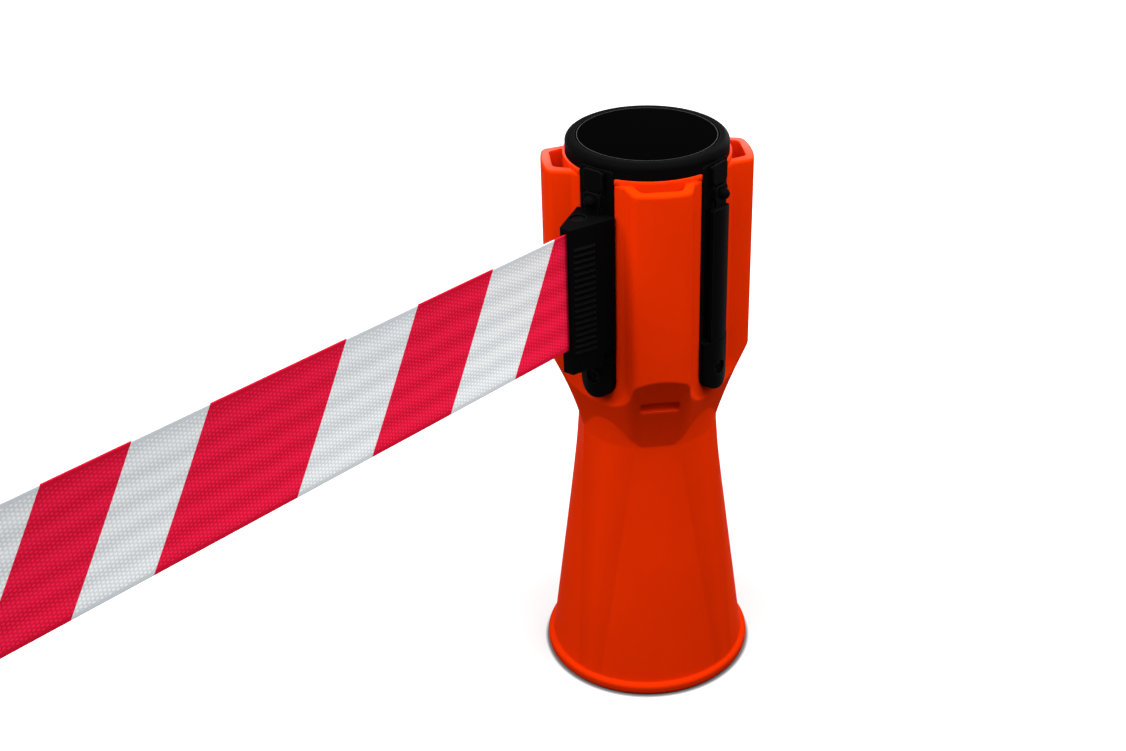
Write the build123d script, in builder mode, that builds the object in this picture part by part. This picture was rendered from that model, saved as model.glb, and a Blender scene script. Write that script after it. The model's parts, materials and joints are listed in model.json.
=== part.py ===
from build123d import *
from math import acos, atan2, cos, degrees, hypot, pi, radians, sin, sqrt
import os

# A topper that drops over a traffic cone and carries a retractable striped belt.
# Millimetres, +Z up, origin on the floor under the centre of the foot.
# The belt leaves towards -X. The four rails face -X, -Y, +X and +Y, and the lobes stand between them.

# Belt
belt_width = 50.0
belt_thick = 0.6
belt_in_roll = 2000.0
belt_free_length = 255.0
belt_swing = 4.0
belt_gap = 0.3
belt_slot_gap = 0.6
belt_end_gap = 0.2
belt_side_gap = 0.7

# Spool and its bearings
hub_radius = 10.0
hub_relief_radius = 7.5
spigot_radius = 6.5
bush_radius = 4.5
bush_length = 6.0
spindle_radius = 3.0
flange_thick = 1.6
flange_margin = 1.4
anchor_pin_radius = 0.8
running_clearance = 0.05
seat_clearance = 0.03

# Retraction spring and its case
spring_strip = 0.4
spring_width = 5.0
spring_pitch = 1.5
spring_end_gap = 0.5
case_floor = 1.0
case_wall = 1.4

# Cassette round the spool
cassette_plate = 3.0
cassette_boss_height = 9.0
cassette_boss_radius = 6.0
cassette_wall = 1.2
cassette_lid_thick = 2.5
spool_gap = 0.6
thrust_gap = 0.2
case_gap = 0.7
spindle_clip_thick = 0.8
spindle_clip_radius = 5.5
spindle_clip_groove = 0.5
spindle_end = 0.6
spindle_foot = 2.6
cassette_screw_radius = 1.5
cassette_screw_circle = 22.0
cassette_screw_length = 9.0
cassette_screw_count = 4
cassette_screw_start = 45.0
cassette_screw_head = 2.8
cassette_screw_head_thick = 1.6

# Body shell
skirt_height = 118.5
foot_radius = 43.8
foot_facet_angle = 37.0
foot_facet_dip = 0.4
neck_flat_radius = 28.3
neck_flat_half = 9.0
neck_rise = 18.0
skirt_wall = 2.8
bead_stand = 1.6
bead_height = 5.2
bead_round = 1.8
chamfer_height = 38.5
slope_middle_share = 0.36
slope_middle_radius = 32.0
slope_middle_half = 11.0
shoulder_reach = 6.0
slope_round = 8.0
floor_above_neck = 38.5
floor_thick = 14.0
tip_room_radius = 18.0
tip_room_height = 11.0
chamber_gap = 0.3
chamber_wall = 2.9
lobe_stand = 10.0
lobe_tip_half = 11.2
lobe_root_half = 13.6
lobe_corner = 3.5
lobe_root = 4.0
land_margin = 4.8
land_flare = 2.0
land_depth = 5.0
pocket_front_wall = 3.8
pocket_side_wall = 3.4
pocket_corner = 2.5
pocket_floor_drop = 3.0
rim_round = 1.0
collar_height = 1.9
collar_margin = 0.9
drain_width = 16.0
drain_height = 5.2
drain_floor_stand = 1.0
drain_below_chamfer_top = 15.7

# Rails
rail_width = 16.0
rail_thick = 3.1
rail_proud = 0.7
rail_gap = 0.2
rail_groove_side = 0.3
rail_rise = 3.0
rail_corner = 1.5
rail_edge_round = 0.5
rail_screw_drop = 4.0
rail_tip_drop = 9.8
ledge_above_screw = 13.2
crown_height = 4.2
crown_radius = 13.2
foot_round = 0.8
web_width = 7.0
web_height = 1.5
tee_width = 10.4
tee_corner = 1.0
tee_below_catch = 5.9
channel_width = 3.3
channel_depth = 1.2
stem_width = 6.2
pad_width = 7.6
pad_height = 6.4
pad_corner = 1.8
pad_proud = 3.1
head_block_width = 8.8
head_block_below_top = 8.4
head_block_corner = 1.5
head_block_proud = 2.4
screw_head_radius = 2.9
screw_head_thick = 1.6
screw_shank_radius = 1.5
screw_sink = 1.5
screw_length = 11.0
screw_cross_width = 0.9
screw_cross_length = 3.8
screw_cross_depth = 0.8

# Dome catches
catch_drop = 9.4
catch_radius = 2.2
catch_stand = 1.1
catch_flange_radius = 3.2
catch_flange = 0.8
catch_clearance = 0.05
catch_seat_wall = 0.9
catch_spring_outer = 1.7
catch_spring_inner = 1.3
catch_flange_from_face = 4.4

# Mouth block and end clip
wedge_base_width = 18.5
wedge_nose_width = 4.8
wedge_depth = 19.5
wedge_below_belt = 10.1
wedge_above_belt = 2.5
wedge_edge_round = 0.6
wedge_jaw_step = 5.2
wedge_jaw_depth = 6.0
wedge_slot = 2.0
rib_count = 18
rib_pitch = 2.61
rib_width = 1.3
rib_height = 0.7
rib_length = 9.5
rib_from_nose = 1.6
rib_taper = 25.0
roller_radius = 2.4
roller_pin_radius = 1.25
roller_from_nose = 10.7
roller_end_gap = 0.3
pin_head_radius = 3.0
pin_head_thick = 0.6
pin_head_sink = 0.8
pin_foot = 5.0
pin_hole_clearance = 0.25
mouth_screw_radius = 1.4
mouth_screw_head = 2.4
mouth_screw_head_thick = 1.5
mouth_screw_length = 6.5
mouth_screw_offset = 4.5
mouth_screw_spread = 16.0
jaw_lip = 0.8
jaw_clearance = 0.4
jaw_gap = 0.2
clip_pin_radius = 1.5
clip_loop_gap = 0.1

# Cap and the blank disc on it
cap_height = 6.5
cap_top_thick = 2.5
cap_round = 2.4
cap_back = 0.3
plug_depth = 3.0
plug_wall = 2.0
plug_gap = 0.2
cap_gap = 0.6
disc_radius = 28.3
disc_thick = 0.6
disc_gap = 0.15

# Where the rails face: the belt's exit first, then the three receivers, with a lobe after each
exit_azimuth = 180.0
rail_azimuths = {side: exit_azimuth + 90.0 * turn
                 for turn, side in enumerate(("exit", "front", "right", "rear"))}
lobe_azimuths = [azimuth + 45.0 for azimuth in rail_azimuths.values()]

# Heights, worked out from the floor up
neck_z = skirt_height
chamfer_top_z = neck_z + chamfer_height
floor_z = neck_z + floor_above_neck
boss_z = floor_z + cassette_plate + cassette_boss_height
spool_z = boss_z + thrust_gap
belt_low_z = spool_z + flange_thick + belt_side_gap
belt_high_z = belt_low_z + belt_width
belt_mid_z = (belt_low_z + belt_high_z) / 2
upper_flange_z = belt_high_z + belt_side_gap
case_z = upper_flange_z + flange_thick
spring_z = case_z + case_floor + spring_end_gap
case_top_z = spring_z + spring_width + spring_end_gap
lid_z = case_top_z + case_gap
lid_top_z = lid_z + cassette_lid_thick
spindle_top_z = lid_top_z + spindle_clip_thick + spindle_end
seat_z = spindle_top_z + cap_gap + plug_depth
rim_z = seat_z - collar_height
screw_z = floor_z - rail_screw_drop
rail_tip_z = screw_z - rail_tip_drop
rail_top_z = seat_z + rail_rise
ledge_z = screw_z + ledge_above_screw
catch_z = seat_z - catch_drop
tee_high_z = catch_z - tee_below_catch
wedge_low_z = belt_low_z - wedge_below_belt
wedge_high_z = belt_high_z + wedge_above_belt
wedge_height = wedge_high_z - wedge_low_z
wedge_mid_z = (wedge_low_z + wedge_high_z) / 2
drain_z = chamfer_top_z - drain_below_chamfer_top
slot_low_z = belt_low_z - belt_side_gap
slot_height = belt_width + 2 * belt_side_gap
pin_low_z = slot_low_z - pin_foot

# Radii, worked out from the spool outwards
roll_radius = sqrt(hub_radius**2 + belt_in_roll * belt_thick / pi)
full_roll_radius = sqrt(hub_radius**2 + (belt_in_roll + belt_free_length) * belt_thick / pi)
flange_radius = full_roll_radius + flange_margin
cassette_inner = flange_radius + spool_gap
cassette_outer = cassette_inner + cassette_wall
chamber_radius = cassette_outer + chamber_gap
groove_radius = chamber_radius + chamber_wall
rail_back = groove_radius + rail_gap
rail_face = rail_back + rail_thick
valley_radius = rail_face - rail_proud
lobe_radius = valley_radius + lobe_stand
lobe_tip_reach = sqrt(lobe_radius**2 - lobe_tip_half**2)
lobe_root_reach = valley_radius * sqrt(2) - lobe_root_half
cap_radius = rail_face - cap_back
collar_radius = cap_radius + collar_margin
crown_face = rail_face + crown_height
nose_radius = rail_face + wedge_depth
neck_corner_radius = hypot(neck_flat_radius, neck_flat_half)
neck_facet_angle = degrees(atan2(neck_flat_half, neck_flat_radius))
case_outer = flange_radius
case_inner = case_outer - case_wall

# The belt's line outside the mouth, and the guide roller just inside it
belt_azimuth = exit_azimuth - belt_swing
belt_way = Vector(cos(radians(belt_azimuth)), sin(radians(belt_azimuth)), 0)
belt_side = Vector(-belt_way.Y, belt_way.X, 0)
exit_way = Vector(cos(radians(exit_azimuth)), sin(radians(exit_azimuth)), 0)
nose_point = exit_way * nose_radius
roller_wrap = roller_radius + belt_gap + belt_thick / 2
roller_foot = nose_point - belt_way * roller_from_nose
roller_centre = roller_foot - belt_side * roller_wrap

# The straight stretch from the roll crosses over to the far side of the roller
roll_wrap = roll_radius + belt_gap + belt_thick / 2
roller_reach = hypot(roller_centre.X, roller_centre.Y)
roller_azimuth = degrees(atan2(roller_centre.Y, roller_centre.X))
lead_azimuth = roller_azimuth - degrees(acos((roll_wrap + roller_wrap) / roller_reach))
lead_out = Vector(cos(radians(lead_azimuth)), sin(radians(lead_azimuth)), 0)
lead_start = lead_out * roll_wrap
lead_end = roller_centre - lead_out * roller_wrap
lead_way = (lead_end - lead_start).normalized()
lead_length = (lead_end - lead_start).length

# The end clip faces back along the belt, and its pin stands beside the belt's line
clip_base = nose_point + belt_way * (belt_free_length + wedge_depth)
clip_plane = Plane(origin=clip_base, x_dir=-belt_way, z_dir=(0, 0, 1))
clip_loop_radius = clip_pin_radius + clip_loop_gap + belt_thick / 2
clip_pin_local = Vector(wedge_depth - roller_from_nose, clip_loop_radius, 0)
clip_pin_centre = clip_plane.from_local_coords(clip_pin_local)

# The belt's inner end is pinned in the middle of the hub's wall
anchor_place = Vector((hub_radius + hub_relief_radius) / 2, 0, 0)


def on_circle(radius, azimuth, height=0.0):
    """Point at this radius and azimuth about the vertical axis."""
    return Vector(radius * cos(radians(azimuth)), radius * sin(radians(azimuth)), height)


def radial_plane(azimuth, radius):
    """Plane facing outwards: local x runs round the axis and local y runs up."""
    out = on_circle(1.0, azimuth)
    return Plane(origin=out * radius, x_dir=Vector(-out.Y, out.X, 0), z_dir=out)


def upright_plane(origin, way):
    """Level plane at a point, with local x along a direction."""
    return Plane(origin=origin, x_dir=way, z_dir=(0, 0, 1))


def facet_ring(height, half_angle, radius, flat):
    """Round section whose four diagonal stretches are flats or shallow arcs just inside the circle."""
    with BuildSketch(Plane.XY.offset(height)) as ring:
        with BuildLine():
            for middle in lobe_azimuths:
                start = on_circle(radius, middle - half_angle)
                end = on_circle(radius, middle + half_angle)
                if flat:
                    Line(start, end)
                else:
                    ThreePointArc(start, on_circle(radius - foot_facet_dip, middle), end)
                CenterArc((0, 0), radius, middle + half_angle, 90 - 2 * half_angle)
        make_face()
    return ring.sketch


def octagon(height, flat_radius, flat_half):
    """Eight-sided section with its diagonal sides at one distance and half width."""
    corner_radius = hypot(flat_radius, flat_half)
    half_angle = degrees(atan2(flat_half, flat_radius))
    corners = []
    for middle in lobe_azimuths:
        corners.append(on_circle(corner_radius, middle - half_angle))
        corners.append(on_circle(corner_radius, middle + half_angle))
    with BuildSketch(Plane.XY.offset(height)) as eight:
        with BuildLine():
            Polyline(*corners, close=True)
        make_face()
    return eight.sketch


def lobe_point(middle, reach, aside):
    """Point of the head's outline, given along and across a lobe's own diagonal."""
    out = on_circle(1.0, middle)
    return Vector(out.X * reach - out.Y * aside, out.Y * reach + out.X * aside, 0)


def head_outline(height):
    """Four tapered lobes on the diagonals, with flat valleys for the rails between them."""
    with BuildSketch(Plane.XY.offset(height)) as outline:
        with BuildLine():
            for middle in lobe_azimuths:
                near_root = lobe_point(middle, lobe_root_reach, -lobe_root_half)
                near_tip = lobe_point(middle, lobe_tip_reach, -lobe_tip_half)
                far_tip = lobe_point(middle, lobe_tip_reach, lobe_tip_half)
                far_root = lobe_point(middle, lobe_root_reach, lobe_root_half)
                next_root = lobe_point(middle + 90, lobe_root_reach, -lobe_root_half)
                Line(near_root, near_tip)
                ThreePointArc(near_tip, on_circle(lobe_radius, middle), far_tip)
                Line(far_tip, far_root)
                Line(far_root, next_root)
        make_face()
        between = (lobe_radius + valley_radius) / 2
        tips = outline.vertices().filter_by(lambda v: hypot(v.X, v.Y) > between)
        roots = outline.vertices().filter_by(lambda v: hypot(v.X, v.Y) <= between)
        fillet(tips, lobe_corner)
        fillet(roots, lobe_root)
    return outline.sketch


def pocket_outline(middle):
    """Tapered recess of one lobe, running in under the cap's collar."""
    reach = lobe_radius - pocket_front_wall
    tip_half = lobe_tip_half - pocket_side_wall
    root_half = lobe_root_half - pocket_side_wall
    with BuildSketch(Plane.XY.offset(rim_z)) as outline:
        with BuildLine():
            Polyline(lobe_point(middle, lobe_root_reach, -root_half), lobe_point(middle, reach, -tip_half),
                     lobe_point(middle, reach, tip_half), lobe_point(middle, lobe_root_reach, root_half),
                     close=True)
        make_face()
        fillet(outline.vertices().filter_by(lambda v: hypot(v.X, v.Y) > reach), pocket_corner)
        Circle(collar_radius, mode=Mode.SUBTRACT)
    return outline.sketch


def rail_outline(plane, side_gap):
    """Tall plate with a round lower end, grown by a gap all round."""
    half = rail_width / 2 + side_gap
    low = rail_tip_z - side_gap
    high = rail_top_z + side_gap
    with BuildSketch(plane) as outline:
        with BuildLine():
            Polyline((-half, low + half), (-half, high), (half, high), (half, low + half))
            ThreePointArc((half, low + half), (0, low), (-half, low + half))
        make_face()
        fillet(outline.vertices().group_by(Axis.Y)[-1], rail_corner)
    return outline.sketch


def land_outline(azimuth, depth):
    """Land round a rail's lower end, which opens out with the distance in front of it."""
    return rail_outline(radial_plane(azimuth, valley_radius + depth), land_margin + land_flare * depth)


def lead_slot():
    """Level strip round the straight stretch of belt, with room on both sides."""
    with BuildSketch(upright_plane(lead_start + Vector(0, 0, slot_low_z), lead_way)) as strip:
        with Locations((lead_length / 2, 0)):
            Rectangle(lead_length + 2 * roller_wrap, belt_thick + 2 * belt_slot_gap)
    return strip.sketch


def make_head():
    """Outside of the head: lobes above, and sloped undersides running in to the neck."""
    corner_half = (valley_radius + shoulder_reach) * sqrt(2) - lobe_radius
    middle_z = neck_z + slope_middle_share * chamfer_height
    with BuildPart() as slope:
        loft([octagon(neck_z, neck_flat_radius, neck_flat_half).face(),
              octagon(middle_z, slope_middle_radius, slope_middle_half).face(),
              octagon(chamfer_top_z, lobe_radius, corner_half).face()])
        fillet(slope.edges().filter_by(Plane.XY, reverse=True), slope_round)
    # Below the lobes the slope closes round the lower end of each rail's land
    with BuildPart() as below:
        add(slope.part)
        for azimuth in rail_azimuths.values():
            loft([land_outline(azimuth, 0).face(), land_outline(azimuth, land_depth).face()], ruled=True,
                 mode=Mode.SUBTRACT)
        split(bisect_by=Plane.XY.offset(rail_tip_z + rail_width / 2), keep=Keep.BOTTOM)
    with BuildPart() as head:
        extrude(head_outline(neck_z), amount=chamfer_height)
        add(slope.part, mode=Mode.INTERSECT)
        add(below.part)
        extrude(head_outline(chamfer_top_z), amount=rim_z - chamfer_top_z)
        rim = head.faces().sort_by(Axis.Z)[-1]
        fillet(rim.outer_wire().edges(), rim_round)
    return head.part


def make_body():
    """Skirt, neck and head, hollowed for the cone, the cassette, the rails and the pockets."""
    neck = facet_ring(neck_z, neck_facet_angle, neck_corner_radius, True)
    foot = facet_ring(0, foot_facet_angle, foot_radius, False)
    socket_top = floor_z - floor_thick
    neck_bore = neck_flat_radius - skirt_wall
    head = make_head()
    with BuildPart() as body_shell:
        loft([foot.face(), neck.face()], ruled=True)
        extrude(neck, amount=neck_rise)
        add(head)
        with Locations((0, 0, rim_z)):
            Cylinder(collar_radius, collar_height, align=(Align.CENTER, Align.CENTER, Align.MIN))
        with BuildSketch(Plane.XZ) as bead:
            with Locations((foot_radius - skirt_wall, 0)):
                Rectangle(skirt_wall + bead_stand, bead_height, align=(Align.MIN, Align.MIN))
            fillet(bead.vertices().group_by(Axis.X)[-1], bead_round)
        revolve(bead.sketch, axis=Axis.Z)
        # Conical socket for the cone, with a straight top and room for its tip
        with BuildSketch(Plane.XZ) as socket:
            with BuildLine():
                Polyline((0, 0), (foot_radius - skirt_wall, 0), (neck_bore, neck_z), (neck_bore, socket_top),
                         (tip_room_radius, socket_top), (tip_room_radius, socket_top + tip_room_height),
                         (0, socket_top + tip_room_height), close=True)
            make_face()
        revolve(socket.sketch, axis=Axis.Z, mode=Mode.SUBTRACT)
        # Round chamber for the cassette
        with Locations((0, 0, floor_z)):
            Cylinder(chamber_radius, seat_z - floor_z, align=(Align.CENTER, Align.CENTER, Align.MIN),
                     mode=Mode.SUBTRACT)
            Cylinder(spindle_radius + seat_clearance, 2 * spindle_foot, mode=Mode.SUBTRACT)
        with Locations(Plane.XY.offset(floor_z)):
            with PolarLocations(cassette_screw_circle, cassette_screw_count, cassette_screw_start):
                Cylinder(cassette_screw_radius + seat_clearance, 2 * cassette_screw_length,
                         mode=Mode.SUBTRACT)
        # Open pockets in the lobes, and a slot in each sloped underside
        for middle in lobe_azimuths:
            extrude(pocket_outline(middle), amount=chamfer_top_z - pocket_floor_drop - rim_z,
                    mode=Mode.SUBTRACT)
        for middle in lobe_azimuths:
            with BuildSketch(radial_plane(middle, valley_radius + drain_floor_stand)) as drain:
                with Locations((0, drain_z)):
                    RectangleRounded(drain_width, drain_height, rim_round)
            extrude(drain.sketch, amount=lobe_stand, mode=Mode.SUBTRACT)
        # Grooves, screw holes and catch holes behind the rails
        for azimuth in rail_azimuths.values():
            extrude(rail_outline(radial_plane(azimuth, groove_radius), rail_groove_side),
                    amount=lobe_stand, mode=Mode.SUBTRACT)
            with BuildSketch(radial_plane(azimuth, groove_radius)) as holes:
                with Locations((0, screw_z)):
                    Circle(screw_shank_radius + seat_clearance)
            extrude(holes.sketch, amount=-screw_length, mode=Mode.SUBTRACT)
            with BuildSketch(radial_plane(azimuth, groove_radius)) as seats:
                with Locations((0, catch_z)):
                    Circle(catch_flange_radius + belt_gap)
            extrude(seats.sketch, amount=catch_seat_wall - chamber_wall, mode=Mode.SUBTRACT)
        extrude(lead_slot(), amount=slot_height, mode=Mode.SUBTRACT)
    return body_shell.part


def crown_trim(azimuth):
    """Upright round bar whose outer side is the crowned front of a rail's foot and rib."""
    with BuildPart() as bar:
        with BuildSketch(Plane.XY.offset(rail_tip_z)) as section:
            with Locations(on_circle(crown_face - crown_radius, azimuth)):
                Circle(crown_radius)
        extrude(section.sketch, amount=rail_top_z - rail_tip_z)
    return bar.part


def make_rail_foot(azimuth, trim):
    """Crowned lower end of a rail, up to the ledge that a clip comes to rest on."""
    face = radial_plane(azimuth, rail_face)
    with BuildPart() as foot:
        extrude(rail_outline(face, 0), amount=crown_height)
        split(bisect_by=Plane.XY.offset(ledge_z), keep=Keep.BOTTOM)
        add(trim, mode=Mode.INTERSECT)
        front = foot.faces().sort_by(Axis(origin=(0, 0, 0), direction=face.z_dir))[-1]
        fillet(front.edges(), foot_round)
    return foot.part


def make_rail_rib(azimuth, trim):
    """Rib of T-shaped section, with a crowned front, that a clip's jaws slide over."""
    face = radial_plane(azimuth, rail_face)
    tee_mid = (ledge_z + tee_high_z) / 2
    tee_length = tee_high_z - ledge_z
    with BuildPart() as rib:
        with BuildSketch(face.offset(web_height)) as tee:
            with Locations((0, tee_mid)):
                RectangleRounded(tee_width, tee_length, tee_corner)
        extrude(tee.sketch, amount=crown_height - web_height)
        add(trim, mode=Mode.INTERSECT)
        with BuildSketch(face) as web:
            with Locations((0, tee_mid)):
                Rectangle(web_width, tee_length)
        extrude(web.sketch, amount=web_height)
    return rib.part


def make_rail_plate(azimuth, stem_low_z):
    """Flat plate of a rail, with the raised pad round its catch and the block at its top."""
    face = radial_plane(azimuth, rail_face)
    block_mid = rail_top_z - head_block_below_top / 2
    with BuildPart() as plate:
        extrude(rail_outline(radial_plane(azimuth, rail_back), 0), amount=rail_thick)
        outer = plate.faces().sort_by(Axis(origin=(0, 0, 0), direction=face.z_dir))[-1]
        fillet(outer.edges(), rail_edge_round)
        with BuildSketch(face) as web:
            with Locations((0, (stem_low_z + rail_top_z - rail_corner) / 2)):
                Rectangle(web_width, rail_top_z - rail_corner - stem_low_z)
        extrude(web.sketch, amount=web_height)
        with BuildSketch(face.offset(web_height)) as top_block:
            with Locations((0, block_mid)):
                RectangleRounded(head_block_width, head_block_below_top, head_block_corner)
        extrude(top_block.sketch, amount=head_block_proud - web_height)
        with BuildSketch(face) as pad:
            with Locations((0, catch_z)):
                RectangleRounded(pad_width, pad_height, pad_corner)
            with Locations((0, (catch_z + stem_low_z) / 2)):
                Rectangle(stem_width, catch_z - stem_low_z)
        extrude(pad.sketch, amount=pad_proud)
    return plate.part


def make_rail(azimuth, has_slot):
    """Black rail with its foot, its screw and catch holes, and a T-shaped rib or the belt's slot."""
    face = radial_plane(azimuth, rail_face)
    back = radial_plane(azimuth, rail_back)
    trim = crown_trim(azimuth)
    foot = make_rail_foot(azimuth, trim)
    plate = make_rail_plate(azimuth, wedge_high_z + rail_gap if has_slot else tee_high_z)
    rib = make_rail_rib(azimuth, trim)
    channel_mid = (web_width + channel_width) / 2
    channel_z = (ledge_z + tee_high_z) / 2
    with BuildPart() as rail:
        add(plate)
        add(foot)
        if has_slot:
            extrude(lead_slot(), amount=slot_height, mode=Mode.SUBTRACT)
            with BuildSketch(back) as block_screw_seats:
                with Locations(*mouth_screw_places()):
                    Circle(mouth_screw_head + seat_clearance)
            extrude(block_screw_seats.sketch, amount=mouth_screw_head_thick, mode=Mode.SUBTRACT)
            with BuildSketch(back) as block_screw_holes:
                with Locations(*mouth_screw_places()):
                    Circle(mouth_screw_radius + seat_clearance)
            extrude(block_screw_holes.sketch, amount=rail_thick, mode=Mode.SUBTRACT)
        else:
            with BuildSketch(face) as channels:
                with Locations((-channel_mid, channel_z), (channel_mid, channel_z)):
                    Rectangle(channel_width, tee_high_z - ledge_z)
            extrude(channels.sketch, amount=-channel_depth, mode=Mode.SUBTRACT)
            add(rib)
        with BuildSketch(face.offset(crown_height)) as screw_seat:
            with Locations((0, screw_z)):
                Circle(screw_head_radius + rail_gap)
        extrude(screw_seat.sketch, amount=-(screw_sink + screw_head_thick), mode=Mode.SUBTRACT)
        with BuildSketch(back) as screw_hole:
            with Locations((0, screw_z)):
                Circle(screw_shank_radius + seat_clearance)
        extrude(screw_hole.sketch, amount=rail_thick + crown_height, mode=Mode.SUBTRACT)
        with BuildSketch(back) as catch_hole:
            with Locations((0, catch_z)):
                Circle(catch_radius + catch_clearance)
        extrude(catch_hole.sketch, amount=rail_thick + pad_proud, mode=Mode.SUBTRACT)
        with BuildSketch(back) as catch_seat:
            with Locations((0, catch_z)):
                Circle(catch_flange_radius + rail_gap)
        extrude(catch_seat.sketch, amount=rail_thick + pad_proud - catch_flange_from_face, mode=Mode.SUBTRACT)
    return rail.part


def make_catch(azimuth):
    """Dome catch: a round stem with a domed tip and a flange behind the rail."""
    shoulder = rail_face + pad_proud + catch_stand
    flange_front = rail_face + pad_proud - catch_flange_from_face
    flange_back = flange_front - catch_flange
    with BuildPart() as catch:
        with BuildSketch(Plane.XZ) as half:
            with BuildLine():
                Polyline((0, shoulder + catch_radius), (0, flange_back), (catch_flange_radius, flange_back),
                         (catch_flange_radius, flange_front), (catch_radius, flange_front),
                         (catch_radius, shoulder))
                CenterArc((0, shoulder), catch_radius, 0, 90)
            make_face()
        revolve(half.sketch, axis=Axis.Z)
    with BuildPart() as placed:
        with Locations(radial_plane(azimuth, 0).location * Location((0, catch_z, 0))):
            add(catch.part)
    return placed.part


def make_catch_spring(azimuth):
    """Sleeve that stands for the small coil spring behind a catch."""
    seat = chamber_radius + catch_seat_wall
    flange_back = rail_face + pad_proud - catch_flange_from_face - catch_flange
    with BuildPart() as sleeve:
        with BuildSketch(radial_plane(azimuth, seat)) as ring:
            with Locations((0, catch_z)):
                Circle(catch_spring_outer)
                Circle(catch_spring_inner, mode=Mode.SUBTRACT)
        extrude(ring.sketch, amount=flange_back - seat)
    return sleeve.part


def make_rail_screws():
    """Four cross-head screws, one through the lower end of each rail."""
    head_back = crown_face - screw_sink - screw_head_thick
    with BuildPart() as screws:
        for azimuth in rail_azimuths.values():
            with BuildSketch(radial_plane(azimuth, head_back)) as head:
                with Locations((0, screw_z)):
                    Circle(screw_head_radius)
            extrude(head.sketch, amount=screw_head_thick)
            with BuildSketch(radial_plane(azimuth, head_back)) as shank:
                with Locations((0, screw_z)):
                    Circle(screw_shank_radius)
            extrude(shank.sketch, amount=-(screw_length - screw_head_thick))
            with BuildSketch(radial_plane(azimuth, head_back + screw_head_thick)) as cross:
                with Locations((0, screw_z)):
                    Rectangle(screw_cross_length, screw_cross_width)
                    Rectangle(screw_cross_width, screw_cross_length)
            extrude(cross.sketch, amount=-screw_cross_depth, mode=Mode.SUBTRACT)
    return screws.part


def wedge_outline(plane):
    """Plan of the wedge: wide at its base, on the plane's origin, and narrow at its nose along local x."""
    base = wedge_base_width / 2
    nose = wedge_nose_width / 2
    with BuildSketch(plane) as outline:
        with BuildLine():
            Polyline((0, -base), (wedge_depth, -nose), (wedge_depth, nose), (0, base), close=True)
        make_face()
    return outline.sketch


def make_wedge(plane):
    """Outside of the mouth block and of the end clip, with grip ribs on both sides."""
    low = plane.offset(wedge_low_z)
    taper = atan2((wedge_base_width - wedge_nose_width) / 2, wedge_depth)
    with BuildPart() as wedge:
        extrude(wedge_outline(low), amount=wedge_height)
        fillet(wedge.edges().filter_by(Axis.Z), wedge_edge_round)
        fillet(wedge.faces().sort_by(Axis.Z)[-1].edges(), wedge_edge_round / 2)
        # The jaw by the rail ends a step higher than the nose
        with BuildSketch(low) as step:
            Rectangle(wedge_jaw_depth, 2 * wedge_base_width, align=(Align.MIN, Align.CENTER))
        extrude(step.sketch, amount=wedge_jaw_step, mode=Mode.SUBTRACT)
        for side in (-1, 1):
            along = Vector(cos(taper), -side * sin(taper), 0)
            out = Vector(sin(taper), side * cos(taper), 0)
            start = Vector(0, side * wedge_base_width / 2, wedge_mid_z)
            face = Plane(origin=plane.from_local_coords(start),
                         x_dir=plane.from_local_coords(along) - plane.origin,
                         z_dir=plane.from_local_coords(out) - plane.origin)
            slant = wedge_depth / cos(taper)
            with BuildSketch(face) as ribs:
                with Locations((slant - rib_from_nose - rib_length / 2, 0)):
                    with GridLocations(0, rib_pitch, 1, rib_count):
                        Rectangle(rib_length, rib_width)
            extrude(ribs.sketch, amount=rib_height, taper=rib_taper)
    return wedge.part


def mouth_screw_places():
    """Places of the two screws that hold the mouth block, seen on the exit rail's face."""
    return [(mouth_screw_offset, belt_mid_z - mouth_screw_spread),
            (mouth_screw_offset, belt_mid_z + mouth_screw_spread)]


def level_circle(height, centre, radius):
    """Level round section about a point."""
    with BuildSketch(Plane.XY.offset(height)) as section:
        with Locations((centre.X, centre.Y)):
            Circle(radius)
    return section.sketch


def level_ring(height, outer, inner):
    """Level ring about the vertical axis."""
    with BuildSketch(Plane.XY.offset(height)) as section:
        Circle(outer)
        Circle(inner, mode=Mode.SUBTRACT)
    return section.sketch


def pin_bore(centre, radius):
    """Bore for a vertical pin from the wedge's top, with a sunk seat for the pin's head."""
    with BuildPart() as bore:
        extrude(level_circle(pin_low_z, centre, radius + seat_clearance), amount=wedge_high_z - pin_low_z)
        extrude(level_circle(wedge_high_z, centre, pin_head_radius + pin_hole_clearance),
                amount=-(pin_head_sink + pin_head_thick))
    return bore.part


def make_wedge_pin(centre, radius):
    """Vertical pin with a flat round head, sunk in the wedge's top."""
    head_z = wedge_high_z - pin_head_sink - pin_head_thick
    with BuildPart() as pin:
        extrude(level_circle(pin_low_z, centre, radius), amount=head_z - pin_low_z)
        extrude(level_circle(head_z, centre, pin_head_radius), amount=pin_head_thick)
    return pin.part


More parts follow.
